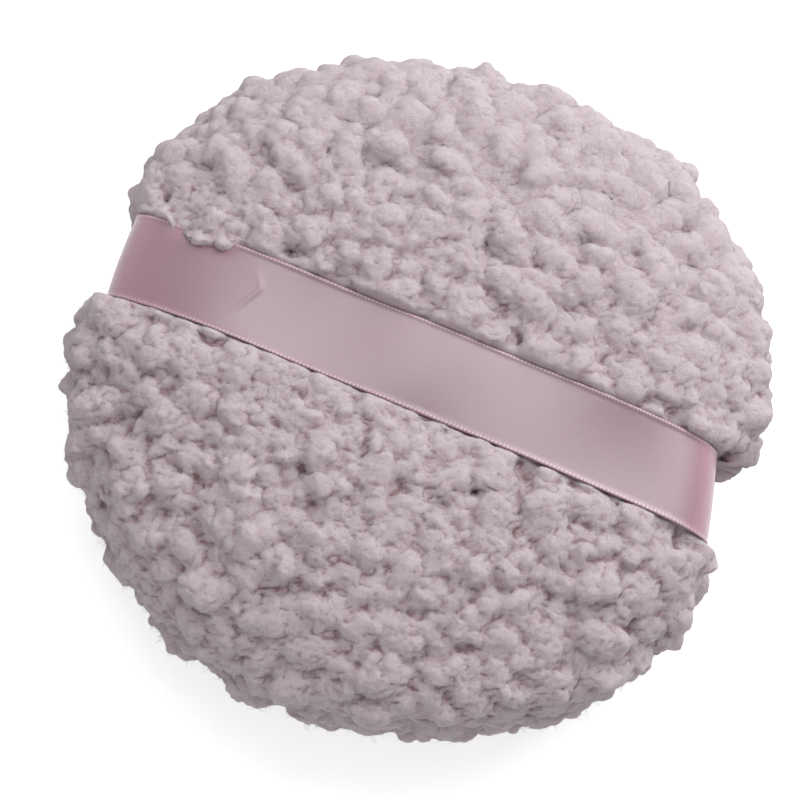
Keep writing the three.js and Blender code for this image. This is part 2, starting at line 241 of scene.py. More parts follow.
def set_uv(mesh, points):
    """A UV map from one (u, v) in metres for each vertex."""
    corners = read_array(mesh.loops, "vertex_index", 1, np.int32)[:, 0]
    layer = mesh.uv_layers.new(name="cloth")
    layer.data.foreach_set("uv", points.reshape(-1, 2)[corners].astype(np.float32).ravel())


def apply_modifiers(obj):
    """Replaces an object's mesh by its evaluated one, so that no modifier is left on it."""
    graph = bpy.context.evaluated_depsgraph_get()
    mesh = bpy.data.meshes.new_from_object(obj.evaluated_get(graph))
    old = obj.data
    obj.modifiers.clear()
    obj.data = mesh
    bpy.data.meshes.remove(old)


def voxel_remesh(obj, size):
    remesh = obj.modifiers.new("remesh", "REMESH")
    remesh.mode = "VOXEL"
    remesh.voxel_size = size
    apply_modifiers(obj)
    obj.data.shade_smooth()


def smoothed(points, edges, rounds):
    """Points after rounds of p <- (p + mean of its neighbours) / 2."""
    ends = np.concatenate([edges, edges[:, ::-1]])
    count = np.bincount(ends[:, 0], minlength=len(points))[:, None].clip(1)
    for _ in range(rounds):
        total = np.stack([np.bincount(ends[:, 0], points[ends[:, 1], axis], len(points))
                          for axis in range(3)], 1)
        points = (points + total / count) / 2
    return points


def sunk(mesh, points, edges, rounds):
    """How deep each point lies under its surroundings, and the normals, with points as set."""
    set_vertices(mesh, points)
    normals = normal_array(mesh)
    return ((smoothed(points, edges, rounds) - points) * normals).sum(1), normals


def smoothstep(value, low, high):
    """0 below low, 1 above high, and 3t^2 - 2t^3 between them."""
    t = np.clip((value - low) / (high - low), 0, 1)
    return t * t * (3 - 2 * t)


def unit(vectors):
    return vectors / np.maximum(np.linalg.norm(vectors, axis=-1, keepdims=True), 1e-12)


def polar(radius, turn, height):
    """Points (r cos turn, r sin turn, height)."""
    return np.stack(np.broadcast_arrays(radius * np.cos(turn), radius * np.sin(turn), height), -1)


def hashed(cells, channel):
    """A repeatable number from 0 to 1 for each integer cell: the fraction of a large sine."""
    mix = cells @ np.array([127.1, 311.7, 74.7]) + 53.3 * channel
    return np.modf(np.abs(np.sin(mix) * 43758.5453))[0]


def tufts(points, pitch):
    """Heights, 0 and less, of round tufts: sqrt(R^2 - d^2) - R, with R = 0.9 pitch.

    d is the way to the nearest point of a jittered grid, so that tufts meet in sharp creases.
    """
    reach, lowest = 0.9 * pitch, 0.6
    cell = np.floor(points / pitch)
    nearest = np.full(len(points), np.inf)
    for step in np.ndindex(3, 3, 3):
        there = cell + np.array(step) - 1
        spot = (there + np.stack([hashed(there, k) for k in range(3)], 1)) * pitch
        nearest = np.minimum(nearest, ((points - spot) ** 2).sum(1))
    return np.sqrt((reach ** 2 - nearest).clip((lowest * reach) ** 2)) - reach


def wander(points, wavelength, amplitude, rng):
    """A smooth wander of points: the sum of a_k sin(k . p + phase_k) over random waves."""
    waves = 14
    lengths = wavelength / rng.uniform(0.7, 1.4, (waves, 1))
    ways = unit(rng.normal(size=(waves, 3))) * TURN / lengths
    phases = rng.uniform(0, TURN, waves)
    shifts = rng.normal(size=(waves, 3)) * amplitude / math.sqrt(waves / 2)
    return np.sin(points @ ways.T + phases) @ shifts


def way_along(path):
    """The way along a path from its start to each of its points."""
    return np.concatenate([[0], np.cumsum(np.linalg.norm(np.diff(path, axis=0), axis=1))])


def along_path(path, steps):
    """A path resampled to evenly spaced points, and its length."""
    run = way_along(path)
    even = np.linspace(0, run[-1], steps)
    return np.stack([np.interp(even, run, column) for column in path.T], 1), run[-1]


def turned_area(path):
    """Area of a turned path of (radius, height) up to each point: the sum of 2 pi r ds."""
    radii = (path[1:, 0] + path[:-1, 0]) / 2
    strips = TURN * radii * np.linalg.norm(np.diff(path, axis=0), axis=1)
    return np.concatenate([[0], np.cumsum(strips)])


def ring_faces(rows, columns):
    """Quads of a grid whose columns close on themselves."""
    r, c = np.meshgrid(np.arange(rows - 1), np.arange(columns), indexing="ij")
    n = (c + 1) % columns
    return np.stack([r * columns + c, (r + 1) * columns + c,
                     (r + 1) * columns + n, r * columns + n], -1).reshape(-1, 4)


def lathe(name, path, columns):
    """A turned solid from a section path of (radius, height) that closes on itself or the axis.

    Its UV is the disc it was cut from: (l cos turn, l sin turn), l being the way along the path.
    """
    turn = np.linspace(0, TURN, columns, endpoint=False)
    ring = polar(path[:, :1], turn, path[:, 1:])
    obj = new_object(name, ring.reshape(-1, 3), ring_faces(len(path), columns))
    set_uv(obj.data, polar(way_along(path)[:, None], turn, 0)[..., :2])
    bm = bmesh.new()
    bm.from_mesh(obj.data)
    bmesh.ops.remove_doubles(bm, verts=bm.verts, dist=0.001 * MM)
    bmesh.ops.recalc_face_normals(bm, faces=bm.faces)
    bm.to_mesh(obj.data)
    bm.free()
    return obj


# The puff's sections

def section(radius, rise, belt, tuck, square, steps=400):
    """A cover's section above the seam as (steps, 2) radii and heights, evenly spaced.

    From the pole to the belt it is r = R sin^q a, h = belt + (rise - belt) cos^q a, and from the
    belt to the seam a quarter ellipse that turns in by tuck.
    """
    a = np.linspace(0, QUARTER, 400)
    crown = np.stack([radius * np.sin(a) ** square,
                      belt + (rise - belt) * np.cos(a).clip(0) ** square], 1)
    side = np.stack([radius - tuck * (1 - np.cos(a)), belt * (1 - np.sin(a))], 1)
    return along_path(np.concatenate([crown, side[1:]]), steps)[0]


# The padded body under the curls, in the open and under the ribbon, above and below the seam.
# The curls stand out of it by CURL_HEIGHT, by more on the crown and by less at the belt and on
# the sole. SWELL is left for the stuffing, and PINCH is how far the ribbon's ends draw in the rim.
CURL_HEIGHT, SWELL, PINCH = 3.1 * MM, 0.1 * MM, 4.4 * MM
CROWN_MORE, BELT_LESS, SOLE_LESS = 0.2 * MM, 1.1 * MM, 0.9 * MM
OPEN_TOP = dict(radius=PUFF_RADIUS - CURL_HEIGHT + BELT_LESS - SWELL,
                rise=CROWN_RISE - CURL_HEIGHT - CROWN_MORE - SWELL,
                belt=5.4 * MM, tuck=3.4 * MM, square=0.8)
BED_TOP = dict(radius=RIBBON_RADIUS - 1.3 * MM, rise=RIBBON_RISE - 1.5 * MM,
               belt=6 * MM, tuck=1.8 * MM, square=0.6)
OPEN_FOOT = dict(OPEN_TOP, rise=FOOT_DROP - CURL_HEIGHT + SOLE_LESS - SWELL, square=0.62)
BED_FOOT = dict(OPEN_FOOT, radius=PUFF_RADIUS - CURL_HEIGHT - PINCH, tuck=2 * MM)
TOP_SHAPES = (OPEN_TOP, BED_TOP)
FOOT_SHAPES = (OPEN_FOOT, BED_FOOT)

# The puff isn't quite round: waves round its edge, as (count, height, turn of a crest)
EDGE_WAVES = ((2, 0.9 * MM, -0.03), (3, 0.25 * MM, 0.75), (4, 0.6 * MM, -0.66),
              (5, 0.35 * MM, -0.4))
# A dimple in the ribbon face, from which the curls lie outwards
DIMPLE = np.array([0.5, 25.5]) * MM
DIMPLE_REACH, DIMPLE_DEPTH = 13 * MM, 2.2 * MM
# How far the pile climbs back beside the ribbon
PRESS_SPREAD = 2.7 * MM
# Where curls lap over the ribbon's +Y edge: their place on x, half their spread, how far they
# reach over it, the size of their bumps, and the place on y and width of the pile that they raise
LAP_PLACE, LAP_HALF, LAP_DEPTH, LAP_BUMP = -35 * MM, 6.5 * MM, 2.1 * MM, 1.5 * MM
LAP_RIDGE, LAP_RIDGE_WIDTH = 7.5 * MM, 2.4 * MM
# Where on x the ribbon is drawn aside at its right and left ends, by which slant and how far
SKEW_RIGHT, SKEW_LEFT = (18 * MM, 45 * MM), (30 * MM, 45 * MM)
RIGHT_SLANT, LEFT_SLANT, RIGHT_DRAW = 0.27, 0.05, 1.6 * MM


def ribbon_skew(x, y):
    """How far the ribbon is drawn aside, because its right end enters the seam at a slant."""
    right, left = smoothstep(x, *SKEW_RIGHT), smoothstep(-x, *SKEW_LEFT)
    return -RIGHT_SLANT * right * y - RIGHT_DRAW * right - LEFT_SLANT * left * y


def lap(x, y):
    """1 where curls lap over the ribbon's +Y edge, and 0 elsewhere."""
    return (1 - smoothstep(np.abs(x - LAP_PLACE), 0.4 * LAP_HALF, LAP_HALF)) * (y > 0)


def bed_edge(x, y):
    """Half the width of the ribbon's bed, less where curls lap over the ribbon's edge."""
    bumps = 0.55 + 0.45 * np.abs(np.sin(x / LAP_BUMP))
    return RIBBON_HALF - LAP_DEPTH * lap(x, y) * bumps


def press(x, y):
    """How strongly the ribbon presses the pile: 1 under it, 0 beyond PRESS_SPREAD of its edge."""
    past = np.abs(y) - bed_edge(x, y)
    return 1 - smoothstep(past, 0, PRESS_SPREAD)


def cover_points(shapes, share, turn, side):
    """Points of a cover at shares of its section and turns round the axis.

    The open section and the one under the ribbon are mixed by press(x, y), and the radius
    carries EDGE_WAVES in proportion. The side is 1 above the seam and -1 below it.
    """
    paths = [section(**shape) for shape in shapes]
    spot = share * (len(paths[0]) - 1)
    opened, bed = [np.stack([np.interp(spot, np.arange(len(path)), column)
                             for column in path.T], -1) for path in paths]
    mix = press(opened[..., 0] * np.cos(turn), opened[..., 0] * np.sin(turn))
    r, h = np.moveaxis(opened * (1 - mix[..., None]) + bed * mix[..., None], -1, 0)
    for count, height, crest in EDGE_WAVES:
        r = r + height * (r / PUFF_RADIUS) ** 3 * np.cos(count * (turn - crest)) * (1 - mix)
    x, y = r * np.cos(turn), r * np.sin(turn)
    x = x + ribbon_skew(x, y) * mix
    if side > 0:
        away = np.hypot(x - DIMPLE[0], y - DIMPLE[1]) / DIMPLE_REACH
        h = h - DIMPLE_DEPTH * np.exp(-(away * 1.7) ** 2)
        ridge = np.exp(-((y - LAP_RIDGE) / LAP_RIDGE_WIDTH) ** 2)
        h = h + LAP_DEPTH / 2 * lap(x, y) * ridge
    return np.stack([x, y, h * side], -1)


def padded_body():
    """The stuffed body under the curls: a closed pillow, blown up by the cloth solver."""
    rows, columns, voxel = 40, 120, 2.6 * MM
    share = np.linspace(0, 1, rows)[:, None] * np.ones(columns)
    turn = np.linspace(0, TURN, columns, endpoint=False)[None, :] * np.ones((rows, 1))
    top = cover_points(TOP_SHAPES, share, turn, 1)
    foot = cover_points(FOOT_SHAPES, share[::-1][1:], turn[1:], -1)
    points = np.concatenate([top, foot]).reshape(-1, 3)
    obj = new_object("padded_body", points, ring_faces(2 * rows - 1, columns))
    voxel_remesh(obj, voxel)
    blow_up(obj)
    divide = obj.modifiers.new("divide", "SUBSURF")
    divide.levels = divide.render_levels = 1
    apply_modifiers(obj)
    return obj


def blow_up(obj):
    """Swells the body with the cloth solver and keeps each point within a cap of its start.

    The seam and the ribbon's bed are held, so that the cloth swells between them.
    """
    cap, seam_held, bed_held, frames = 1.8 * MM, 2 * MM, 0.9, 20
    rest = vertex_array(obj.data)
    held = (np.abs(rest[:, 2]) < seam_held) | (press(rest[:, 0], rest[:, 1]) > bed_held)
    pins = obj.vertex_groups.new(name="held")
    pins.add(np.nonzero(held)[0].tolist(), 1, "REPLACE")
    cloth = obj.modifiers.new("cloth", "CLOTH").settings
    for key, value in dict(
            vertex_group_mass="held", quality=8, mass=0.05, tension_stiffness=0.6,
            compression_stiffness=0.6, shear_stiffness=0.2, bending_stiffness=0.02,
            use_pressure=True, uniform_pressure_force=4).items():
        setattr(cloth, key, value)
    cloth.effector_weights.gravity = 0
    scene = bpy.context.scene
    for number in range(1, frames + 1):
        scene.frame_set(number)
    apply_modifiers(obj)
    scene.frame_set(1)
    move = vertex_array(obj.data) - rest
    length = np.linalg.norm(move, axis=1, keepdims=True)
    set_vertices(obj.data, rest + move * np.minimum(1, cap / np.maximum(length, 1e-9)))
    obj.vertex_groups.clear()


# Curls

def ball():
    """Points and faces of a unit ball, which all lobes share."""
    bm = bmesh.new()
    bmesh.ops.create_icosphere(bm, subdivisions=2, radius=1)
    points = np.array([v.co for v in bm.verts])
    faces = np.array([[v.index for v in f.verts] for f in bm.faces])
    bm.free()
    return points, faces


def sunflower_seats(shapes, side, count, rng):
    """Places on a cover in a sunflower spiral of equal areas, with a little scatter."""
    scatter = 0.02
    area = turned_area(section(**shapes[0]))
    index = np.arange(count) + 0.5
    share = np.interp(index / count, area / area[-1], np.linspace(0, 1, len(area)))
    turn = index * GOLDEN_TURN + rng.normal(0, scatter, count)
    return cover_points(shapes, share, turn, side)


def spread_out(points, radii, packing, drop):
    """Pushes seats apart until each pair keeps packing times the sum of its radii.

    Seats stay on the body: drop takes points to its surface and gives the normals too.
    """
    rounds, step = 8, 0.25
    for _ in range(rounds):
        apart = points[:, None] - points[None]
        distance = np.linalg.norm(apart, axis=-1) + np.eye(len(points))
        wanted = packing * (radii[:, None] + radii[None])
        lack = (wanted / distance - 1).clip(0) * (1 - np.eye(len(points)))
        points, normals = drop(points + step * (apart * lack[..., None]).sum(1))
    return points, normals


def curl_lobes(base, normal, lay, size, stretch, rng):
    """Centres and (3, 3) matrices of the lobes that make the curls.

    Each curl is a stretched core with lobes thrown over its upper half, some round and some as
    flat as flakes. base, normal and lay are (n, 3); size and stretch are (n,).
    """
    count, lobes = len(base), 9
    lift, flatness, cap = 0.1, 0.8, 1.1
    tilt_scatter, turn_scatter = 0.16, 0.4
    reach_range, size_range = (0.4, 0.72), (0.34, 0.62)
    thinnest, fullest = (0.95, 0.8, 0.6), (1.4, 1.15, 1.0)
    axes = np.stack([lay, np.cross(normal, lay), normal], 2)
    extent = np.stack([stretch ** 0.6, stretch ** -0.4, np.full(count, flatness)],
                      1) * size[:, None]
    core_centre = base + lift * size[:, None] * normal
    core_matrix = axes * extent[:, None, :]
    index = np.arange(lobes) + 0.5
    tilt = np.arccos(1 - cap * index / lobes)[None, :] + rng.normal(
        0, tilt_scatter, (count, lobes))
    around = (index * GOLDEN_TURN)[None, :] + rng.uniform(0, TURN, (count, 1)) + rng.normal(
        0, turn_scatter, (count, lobes))
    direction = polar(np.sin(tilt), around, np.cos(tilt))
    reach = rng.uniform(*reach_range, (count, lobes, 1))
    centre = core_centre[:, None] + np.einsum("nij,nkj->nki", core_matrix, direction * reach)
    radius = rng.uniform(*size_range, (count, lobes, 1)) * size[:, None, None]
    spin = unit(rng.normal(size=(count, lobes, 3)))
    other = unit(np.cross(spin, rng.normal(size=(count, lobes, 3))))
    lobe_axes = np.stack([spin, other, np.cross(spin, other)], -1)
    extents = radius * rng.uniform(thinnest, fullest, (count, lobes, 3))
    matrix = lobe_axes * extents[..., None, :]
    return (np.concatenate([core_centre, centre.reshape(-1, 3)]),
            np.concatenate([core_matrix, matrix.reshape(-1, 3, 3)]))


def curl_layer(body, shapes, side, settings, rng):
    """All lobes of one cover's curls, as centres and matrices.

    Curls are seated evenly, then spread out, and lie outwards round the dimple.
    """
    crowding, smallest, largest, flattened = 0.8, 0.55, 1.4, 0.2
    stretch_range, lift_range, lean_scatter = (0.85, 2.0), (-0.6, 0.5), 0.2
    dimple_lay, dimple_stretch, dimple_lean = 3, 0.7, 0.35
    tree = BVHTree.FromPolygons(vertex_array(body.data).tolist(),
                                triangle_array(body.data).tolist())

    def drop(points):
        found = [tree.find_nearest(Vector(p)) for p in points]
        return np.array([f[0] for f in found]), np.array([f[1] for f in found])

    room = (2 * settings.packing * settings.curl_size) ** 2 * crowding
    count = int(turned_area(section(**shapes[0]))[-1] / room)
    size = settings.curl_size * rng.uniform(smallest, largest, count)
    seats = sunflower_seats(shapes, side, count, rng)
    base, normal = spread_out(seats, size, settings.packing, drop)
    pressed = press(base[:, 0], base[:, 1]) * (side > 0)
    size = size * (1 - flattened * pressed)
    away = base[:, :2] - DIMPLE
    radial = np.pad(unit(away), ((0, 0), (0, 1)))
    near = 1 - smoothstep(np.linalg.norm(away, axis=1), 0.6 * DIMPLE_REACH, 1.4 * DIMPLE_REACH)
    near = (near * (side > 0))[:, None]
    lay = rng.normal(size=normal.shape) * (1 - near) + dimple_lay * radial * near
    stretch = rng.uniform(*stretch_range, count) + dimple_stretch * near[:, 0]
    base = base + normal * (rng.uniform(*lift_range, count) * MM * (1 - pressed))[:, None]
    lean = unit(normal + rng.normal(0, lean_scatter, normal.shape) + dimple_lean * near * radial)
    lay = unit(lay - (lay * lean).sum(1, keepdims=True) * lean)
    return curl_lobes(base, lean, lay, size, stretch, rng)


def body_half(body, side):
    """The part of the padded body on one side of the seam, hollowed for the ground cloth."""
    clear, seam_clear, below, columns = 0.4 * MM, 0.2 * MM, -6 * MM, 48
    obj = bpy.data.objects.new("half", body.data.copy())
    bpy.context.scene.collection.objects.link(obj)
    reach = PUFF_RADIUS * 1.5
    x, y, z = [c.ravel() for c in np.meshgrid([-1, 1], [-1, 1], [0, 1], indexing="ij")]
    box = np.stack([x * reach, y * reach, side * (seam_clear + z * reach)], 1)
    faces = [[0, 1, 3, 2], [4, 6, 7, 5], [0, 4, 5, 1], [2, 3, 7, 6], [0, 2, 6, 4], [1, 5, 7, 3]]
    keep = new_object("keep", box, faces, smooth=False)
    rise = cloth_rise(side)
    path = section(CLOTH_RADIUS + clear, rise + clear, 3 * MM, 0, 0.8, 24)
    path = np.concatenate([path, [[path[-1, 0], below], [0, below]]]) * (1, side)
    hollow = lathe("hollow", path, columns)
    for tool, operation in ((keep, "INTERSECT"), (hollow, "DIFFERENCE")):
        cut = obj.modifiers.new("cut", "BOOLEAN")
        cut.object = tool
        cut.operation = operation
        cut.solver = "EXACT"
    apply_modifiers(obj)
    points, faces = vertex_array(obj.data), triangle_array(obj.data)
    for tool in (keep, hollow, obj):
        bpy.data.objects.remove(tool)
    return points, faces


def squeezed(height, low, high, gap):
    """Heights from -low to high squeezed into -low to -gap, and none above -gap."""
    pressed = ((height + low) * (low - gap) / (low + high) - low).clip(None, -gap)
    return np.where(height > -low, pressed, height)


def lay_under_ribbon(points):
    """Squeezes the pile under the ribbon, and not beyond half a millimetre from its edge."""
    low, high, gap, steps = 1.2 * MM, 0.8 * MM, 0.2 * MM, 420
    inside, beyond, lapped_less = 0.1 * MM, 0.5, 0.4
    line, _ = ribbon_line(steps)
    line = line[line[:, 1] > gap]
    normals = line_normals(line)
    past = np.abs(points[:, 1]) - bed_edge(points[:, 0], points[:, 1])
    lapped = lap(points[:, 0], points[:, 1])
    weight = 1 - smoothstep(past, -inside, (beyond - lapped_less * lapped) * MM)
    near = np.nonzero((weight > 0) & (points[:, 2] > 0))[0]
    skew = ribbon_skew(points[near, 0], points[near, 1])
    flat = points[near][:, [0, 2]] - np.stack([skew, 0 * skew], 1)
    nearest = ((flat[:, None] - line[None]) ** 2).sum(-1).argmin(1)
    waves = ribbon_waves(flat[:, 0], points[near, 1])
    over = ((flat - line[nearest]) * normals[nearest]).sum(1) - waves
    fall = (over - squeezed(over, low, high, gap)).clip(0)
    moved = points.copy()
    moved[near[:, None], [0, 2]] -= normals[nearest] * (fall * weight[near])[:, None]
    return moved


def pile_cover(name, body, shapes, side, settings, seed):
    """One cover's pile: curls melted with their half of the padded body into one skin.

    It carries two masks for its material's painted shade, which are 0.5 where it is level: depth,
    between the curls, and crease, between the small tufts.
    """
    soft_reach, gap_depth, crease_depth = 44 * MM, 1.5 * MM, 0.36 * MM
    crisp_rounds, soft_rounds, curl_rounds, tuft_rounds = 2, 4, 30, 5
    warp_length, warp, aside = 3 * MM, 0.55 * MM, 7 * MM
    sole_reach, sole_give = 1.2 * MM, 0.6 * MM
    rng = np.random.default_rng(seed)
    centres, matrices = curl_layer(body, shapes, side, settings, rng)
    points, faces = ball()
    lobes = centres[:, None] + np.einsum("nij,kj->nki", matrices, points)
    lobe_faces = faces + (np.arange(len(centres)) * len(points))[:, None, None]
    half_points, half_faces = body_half(body, side)
    lobes = lobes.reshape(-1, 3)
    obj = new_object(name, np.concatenate([lobes, half_points]), lobe_faces.reshape(-1, 3),
                     half_faces + len(lobes))
    voxel_remesh(obj, settings.detail)
    mesh = obj.data
    edges = read_array(mesh.edges, "vertices", 2, np.int32)
    points = vertex_array(mesh)
    # The curls are crisper towards -Y and softer towards +Y
    soft = smoothstep(points[:, 1], 0, soft_reach)
    crisp = smoothed(points, edges, crisp_rounds)
    points = crisp * (1 - soft[:, None]) + smoothed(crisp, edges, soft_rounds) * soft[:, None]
    # Deep gaps between the curls are raised, because loose fibres fill them
    depth, normals = sunk(mesh, points, edges, curl_rounds)
    # The depth mask, for painted shade in the gaps, is stronger towards -Y
    set_attribute(mesh, "depth", np.clip(0.5 + (1 - 0.35 * soft) * depth / gap_depth, 0, 1))
    filled = (0.4 + 0.35 * soft) * depth.clip(0) - 0.1 * (-depth).clip(0)
    points = points + normals * filled[:, None]
    # Tufts of two sizes, on a grid that is warped and for the finer ones moved aside
    warped = points + wander(points, warp_length, warp, rng)
    relief = (0.45 * tufts(warped, settings.tuft)
              + 0.35 * tufts(warped + aside, 0.5 * settings.tuft))
    plump = (0.3 + 0.25 * soft) * MM
    points = points + normals * ((1 - 0.4 * soft) * relief + plump)[:, None]
    points = lay_under_ribbon(points)
    # What would reach under the sole is squeezed flat
    sole = -FOOT_DROP - points[:, 2]
    points[:, 2] = -FOOT_DROP - squeezed(sole, sole_reach, sole_give, 0)
    # The crease mask, for painted shade between the small tufts
    depth, _ = sunk(mesh, points, edges, tuft_rounds)
    set_attribute(mesh, "crease", np.clip(0.5 + depth / crease_depth, 0, 1))
    points[:, 2] += SEAM_Z
    set_vertices(mesh, points)
    return obj


def stray_fibres(name, cover, count, seed):
    """Loose fibres on a cover: curved threads p + l (d s + b s^2 / 2) that taper to a point."""
    radius, ground, sides, rings = 0.034 * MM, 0.05 * MM, 3, 4
    sole_height, sole_radius = 1.5 * MM, 20 * MM
    scatter, least_rise = 0.75, 0.25
    bend_range, length_range = (0.5, 1.3), (0.5, 1.4)
    places, taper = (-0.15, 0.35, 0.7, 1.0), (1, 0.8, 0.5, 0.1)
    rng = np.random.default_rng(seed)
    points, normals = vertex_array(cover.data), normal_array(cover.data)
    outside = np.hypot(points[:, 0], points[:, 1]) > sole_radius * (points[:, 2] < SEAM_Z)
    free = np.nonzero((press(points[:, 0], points[:, 1]) < 0.5)
                      & (points[:, 2] > sole_height) & outside)[0]
    chosen = rng.choice(free, count, replace=False)
    root, out = points[chosen], normals[chosen]
    way = unit(out + rng.normal(0, scatter, out.shape))
    way = unit(way + out * (least_rise - (way * out).sum(1, keepdims=True)).clip(0))
    bend = unit(rng.normal(size=out.shape)) * rng.uniform(*bend_range, (count, 1))
    length = rng.uniform(*length_range, (count, 1, 1)) * MM
    s = np.array(places)[None, :, None]
    spine = root[:, None] + length * (way[:, None] * s + bend[:, None] * s.clip(0) ** 2 * 0.5)
    across = unit(np.cross(way, bend))
    corner = np.arange(sides) * TURN / sides
    spread = (np.cos(corner)[:, None] * across[:, None] + np.sin(corner)[:, None]
              * np.cross(way, across)[:, None])
    thick = np.array(taper)[None, :, None, None] * radius
    cloud = (spine[:, :, None] + spread[:, None] * thick).reshape(-1, 3)
    cloud[:, 2] = cloud[:, 2].clip(ground)
    starts = (np.arange(count) * rings * sides)[:, None, None]
    ends = np.array([[0, 1, 2], [11, 10, 9]])
    obj = new_object(name, cloud, (ring_faces(rings, sides) + starts).reshape(-1, 4),
                     (ends + starts).reshape(-1, 3))
    # Both painted-shade masks sit below where the material starts to darken, so the loose fibres
    # keep the curl colour
    for mask, value in (("depth", 0.3), ("crease", 0.4)):
        set_attribute(obj.data, mask, np.full(len(cloud), value))
    return obj


# Ribbon

# Waves of the lying ribbon, as (height, length, phase, slant), and its bent crease's place
RIBBON_WAVES = ((0.3 * MM, 6.1 * MM, 0.6, 15 * MM), (0.16 * MM, 3.7 * MM, 2.1, -9 * MM))
CREASE_X, CREASE_Y = -24 * MM, 1.6 * MM


def ribbon_line(steps):
    """The ribbon's line in the XZ plane as (steps, 2), evenly spaced, and its length.

    Its arch has a cover's section, and each end runs into the seam.
    """
    arch = section(RIBBON_RADIUS, RIBBON_RISE, 6 * MM, 2.4 * MM, 0.58)
    half = np.concatenate([arch, [[SEAM_EDGE + 0.7 * MM, 0]]])
    return along_path(np.concatenate([half[:0:-1] * (-1, 1), half]), steps)


def line_normals(line):
    """Unit normals of a line of points in the XZ plane, to the left of its direction."""
    along = unit(np.gradient(line, axis=0))
    return np.stack([-along[:, 1], along[:, 0]], 1)


def ribbon_waves(x, y):
    """Heights of the lying ribbon over its line: slow waves, a sag and one bent crease."""
    sag_height, sag_length, dip_height = 0.25 * MM, 8 * MM, 0.45 * MM
    lip_height, lip_width, step_height = 0.08 * MM, 0.3 * MM, 0.07 * MM
    wave = sum(height * np.sin(x / length + phase + y / slant)
               for height, length, phase, slant in RIBBON_WAVES)
    sag = -sag_height * (y / RIBBON_HALF) ** 2 * np.sin(x / sag_length + 1)
    bend = y - CREASE_Y
    fold = x - CREASE_X + np.where(bend > 0, 0.75, 0.5) * np.abs(bend)
    reach = np.exp(-((bend + 1.2 * MM) / (3.4 * MM)) ** 4)
    lip = lip_height * np.exp(-(fold / lip_width) ** 2)
    step = step_height * (smoothstep(fold, -3.5 * MM, 0) - smoothstep(fold, 0, 0.9 * MM))
    dip = dip_height * lap(x, y) * smoothstep(y, 0.55 * RIBBON_HALF, RIBBON_HALF)
    return wave + sag + reach * (lip + step) - dip


def ribbon_mesh(settings):
    """The satin ribbon: a thin closed band with a fine woven edge along each side.

    Half its thickness is t at the middle and t + b |cos(pi s / pitch)| on the edges' loops,
    where s runs along the ribbon.
    """
    loop_steps, edge_columns, middle_columns, loop_height = 4, 7, 24, 0.1 * MM
    lie_heights, skew_heights = (1 * MM, 8 * MM), (-1 * MM, 3 * MM)
    _, length = ribbon_line(2000)
    steps = int(length / settings.loop_pitch) * loop_steps + 1
    line, _ = ribbon_line(steps)
    normals = line_normals(line)
    run = np.linspace(0, length, steps)
    inner = RIBBON_HALF - settings.selvedge
    edge = np.linspace(inner, RIBBON_HALF, edge_columns)
    middle = np.linspace(-inner, inner, middle_columns)[1:-1]
    across = np.concatenate([-edge[::-1], middle, edge])
    edge = ((np.abs(across) - inner) / settings.selvedge).clip(0)
    swell = np.sin(edge * math.pi).clip(0) ** 0.7
    loops = np.abs(np.cos(math.pi * run / settings.loop_pitch))[:, None]
    half = (settings.thickness / 2 * (1 - 0.6 * (edge > 0.999))
            + loop_height * swell * (0.2 + 0.8 * loops))
    height = line[:, 1:]
    lying = ribbon_waves(line[:, :1], across[None]) * smoothstep(height, *lie_heights)
    skew = ribbon_skew(line[:, :1], across[None]) * smoothstep(height, *skew_heights)
    x = line[:, :1] + skew
    sheets = [np.stack([x + normals[:, :1] * (lying + sign * half), across + 0 * x,
                        height + normals[:, 1:] * (lying + sign * half)], -1)
              for sign in (1, -1)]
    loop = np.concatenate([sheets[0], sheets[1][:, ::-1]], 1)
    columns = loop.shape[1]
    i = np.arange(columns // 2 - 1)
    ends = [np.stack([i, i + 1, columns - 2 - i, columns - 1 - i], 1) + row * columns
            for row in (0, steps - 1)]
    obj = new_object("satin_ribbon", loop.reshape(-1, 3) + (0, 0, SEAM_Z),
                     ring_faces(steps, columns), ends[0][:, ::-1], ends[1])
    u = run[:, None] + 0 * loop[..., 0]
    v = np.concatenate([across, across[::-1]])[None] + 0 * u
    set_uv(obj.data, np.stack([u, v], -1))
    set_attribute(obj.data, "edge", np.concatenate([swell, swell[::-1]])[None] + 0 * u)
    return obj, length


# Sewing

def thread_along(name, path, reference, thickness):
    """A two-ply thread along (n, 3) points.

    Its section is r (0.84 + 0.16 cos 2(a - twist)), turned about the path, and reference is a
    direction at each point that the path never runs along.
    """
    sides, twist_length = 10, 4 * thickness
    along = unit(np.gradient(path, axis=0))
    across = unit(np.cross(along, reference))
    up = np.cross(across, along)
    angle = np.linspace(0, TURN, sides, endpoint=False)[None]
    ply = 0.84 + 0.16 * np.cos(2 * (angle - TURN * way_along(path)[:, None] / twist_length))
    radius = (thickness / 2 * ply)[..., None]
    ring = path[:, None] + radius * (np.cos(angle)[..., None] * across[:, None]
                                     + np.sin(angle)[..., None] * up[:, None])
    caps = np.stack([np.arange(sides)[::-1], np.arange(sides) + (len(path) - 1) * sides])
    return new_object(name, ring.reshape(-1, 3) + (0, 0, SEAM_Z),
                      ring_faces(len(path), sides), caps)


def closing_arc():
    """Half the arc of the hand-closed turning gap on the +Y side."""
    reach = (CLOSING_HIGH.x - CLOSING_LOW.x) / 2
    return math.asin(reach / CLOSING_RADIUS)


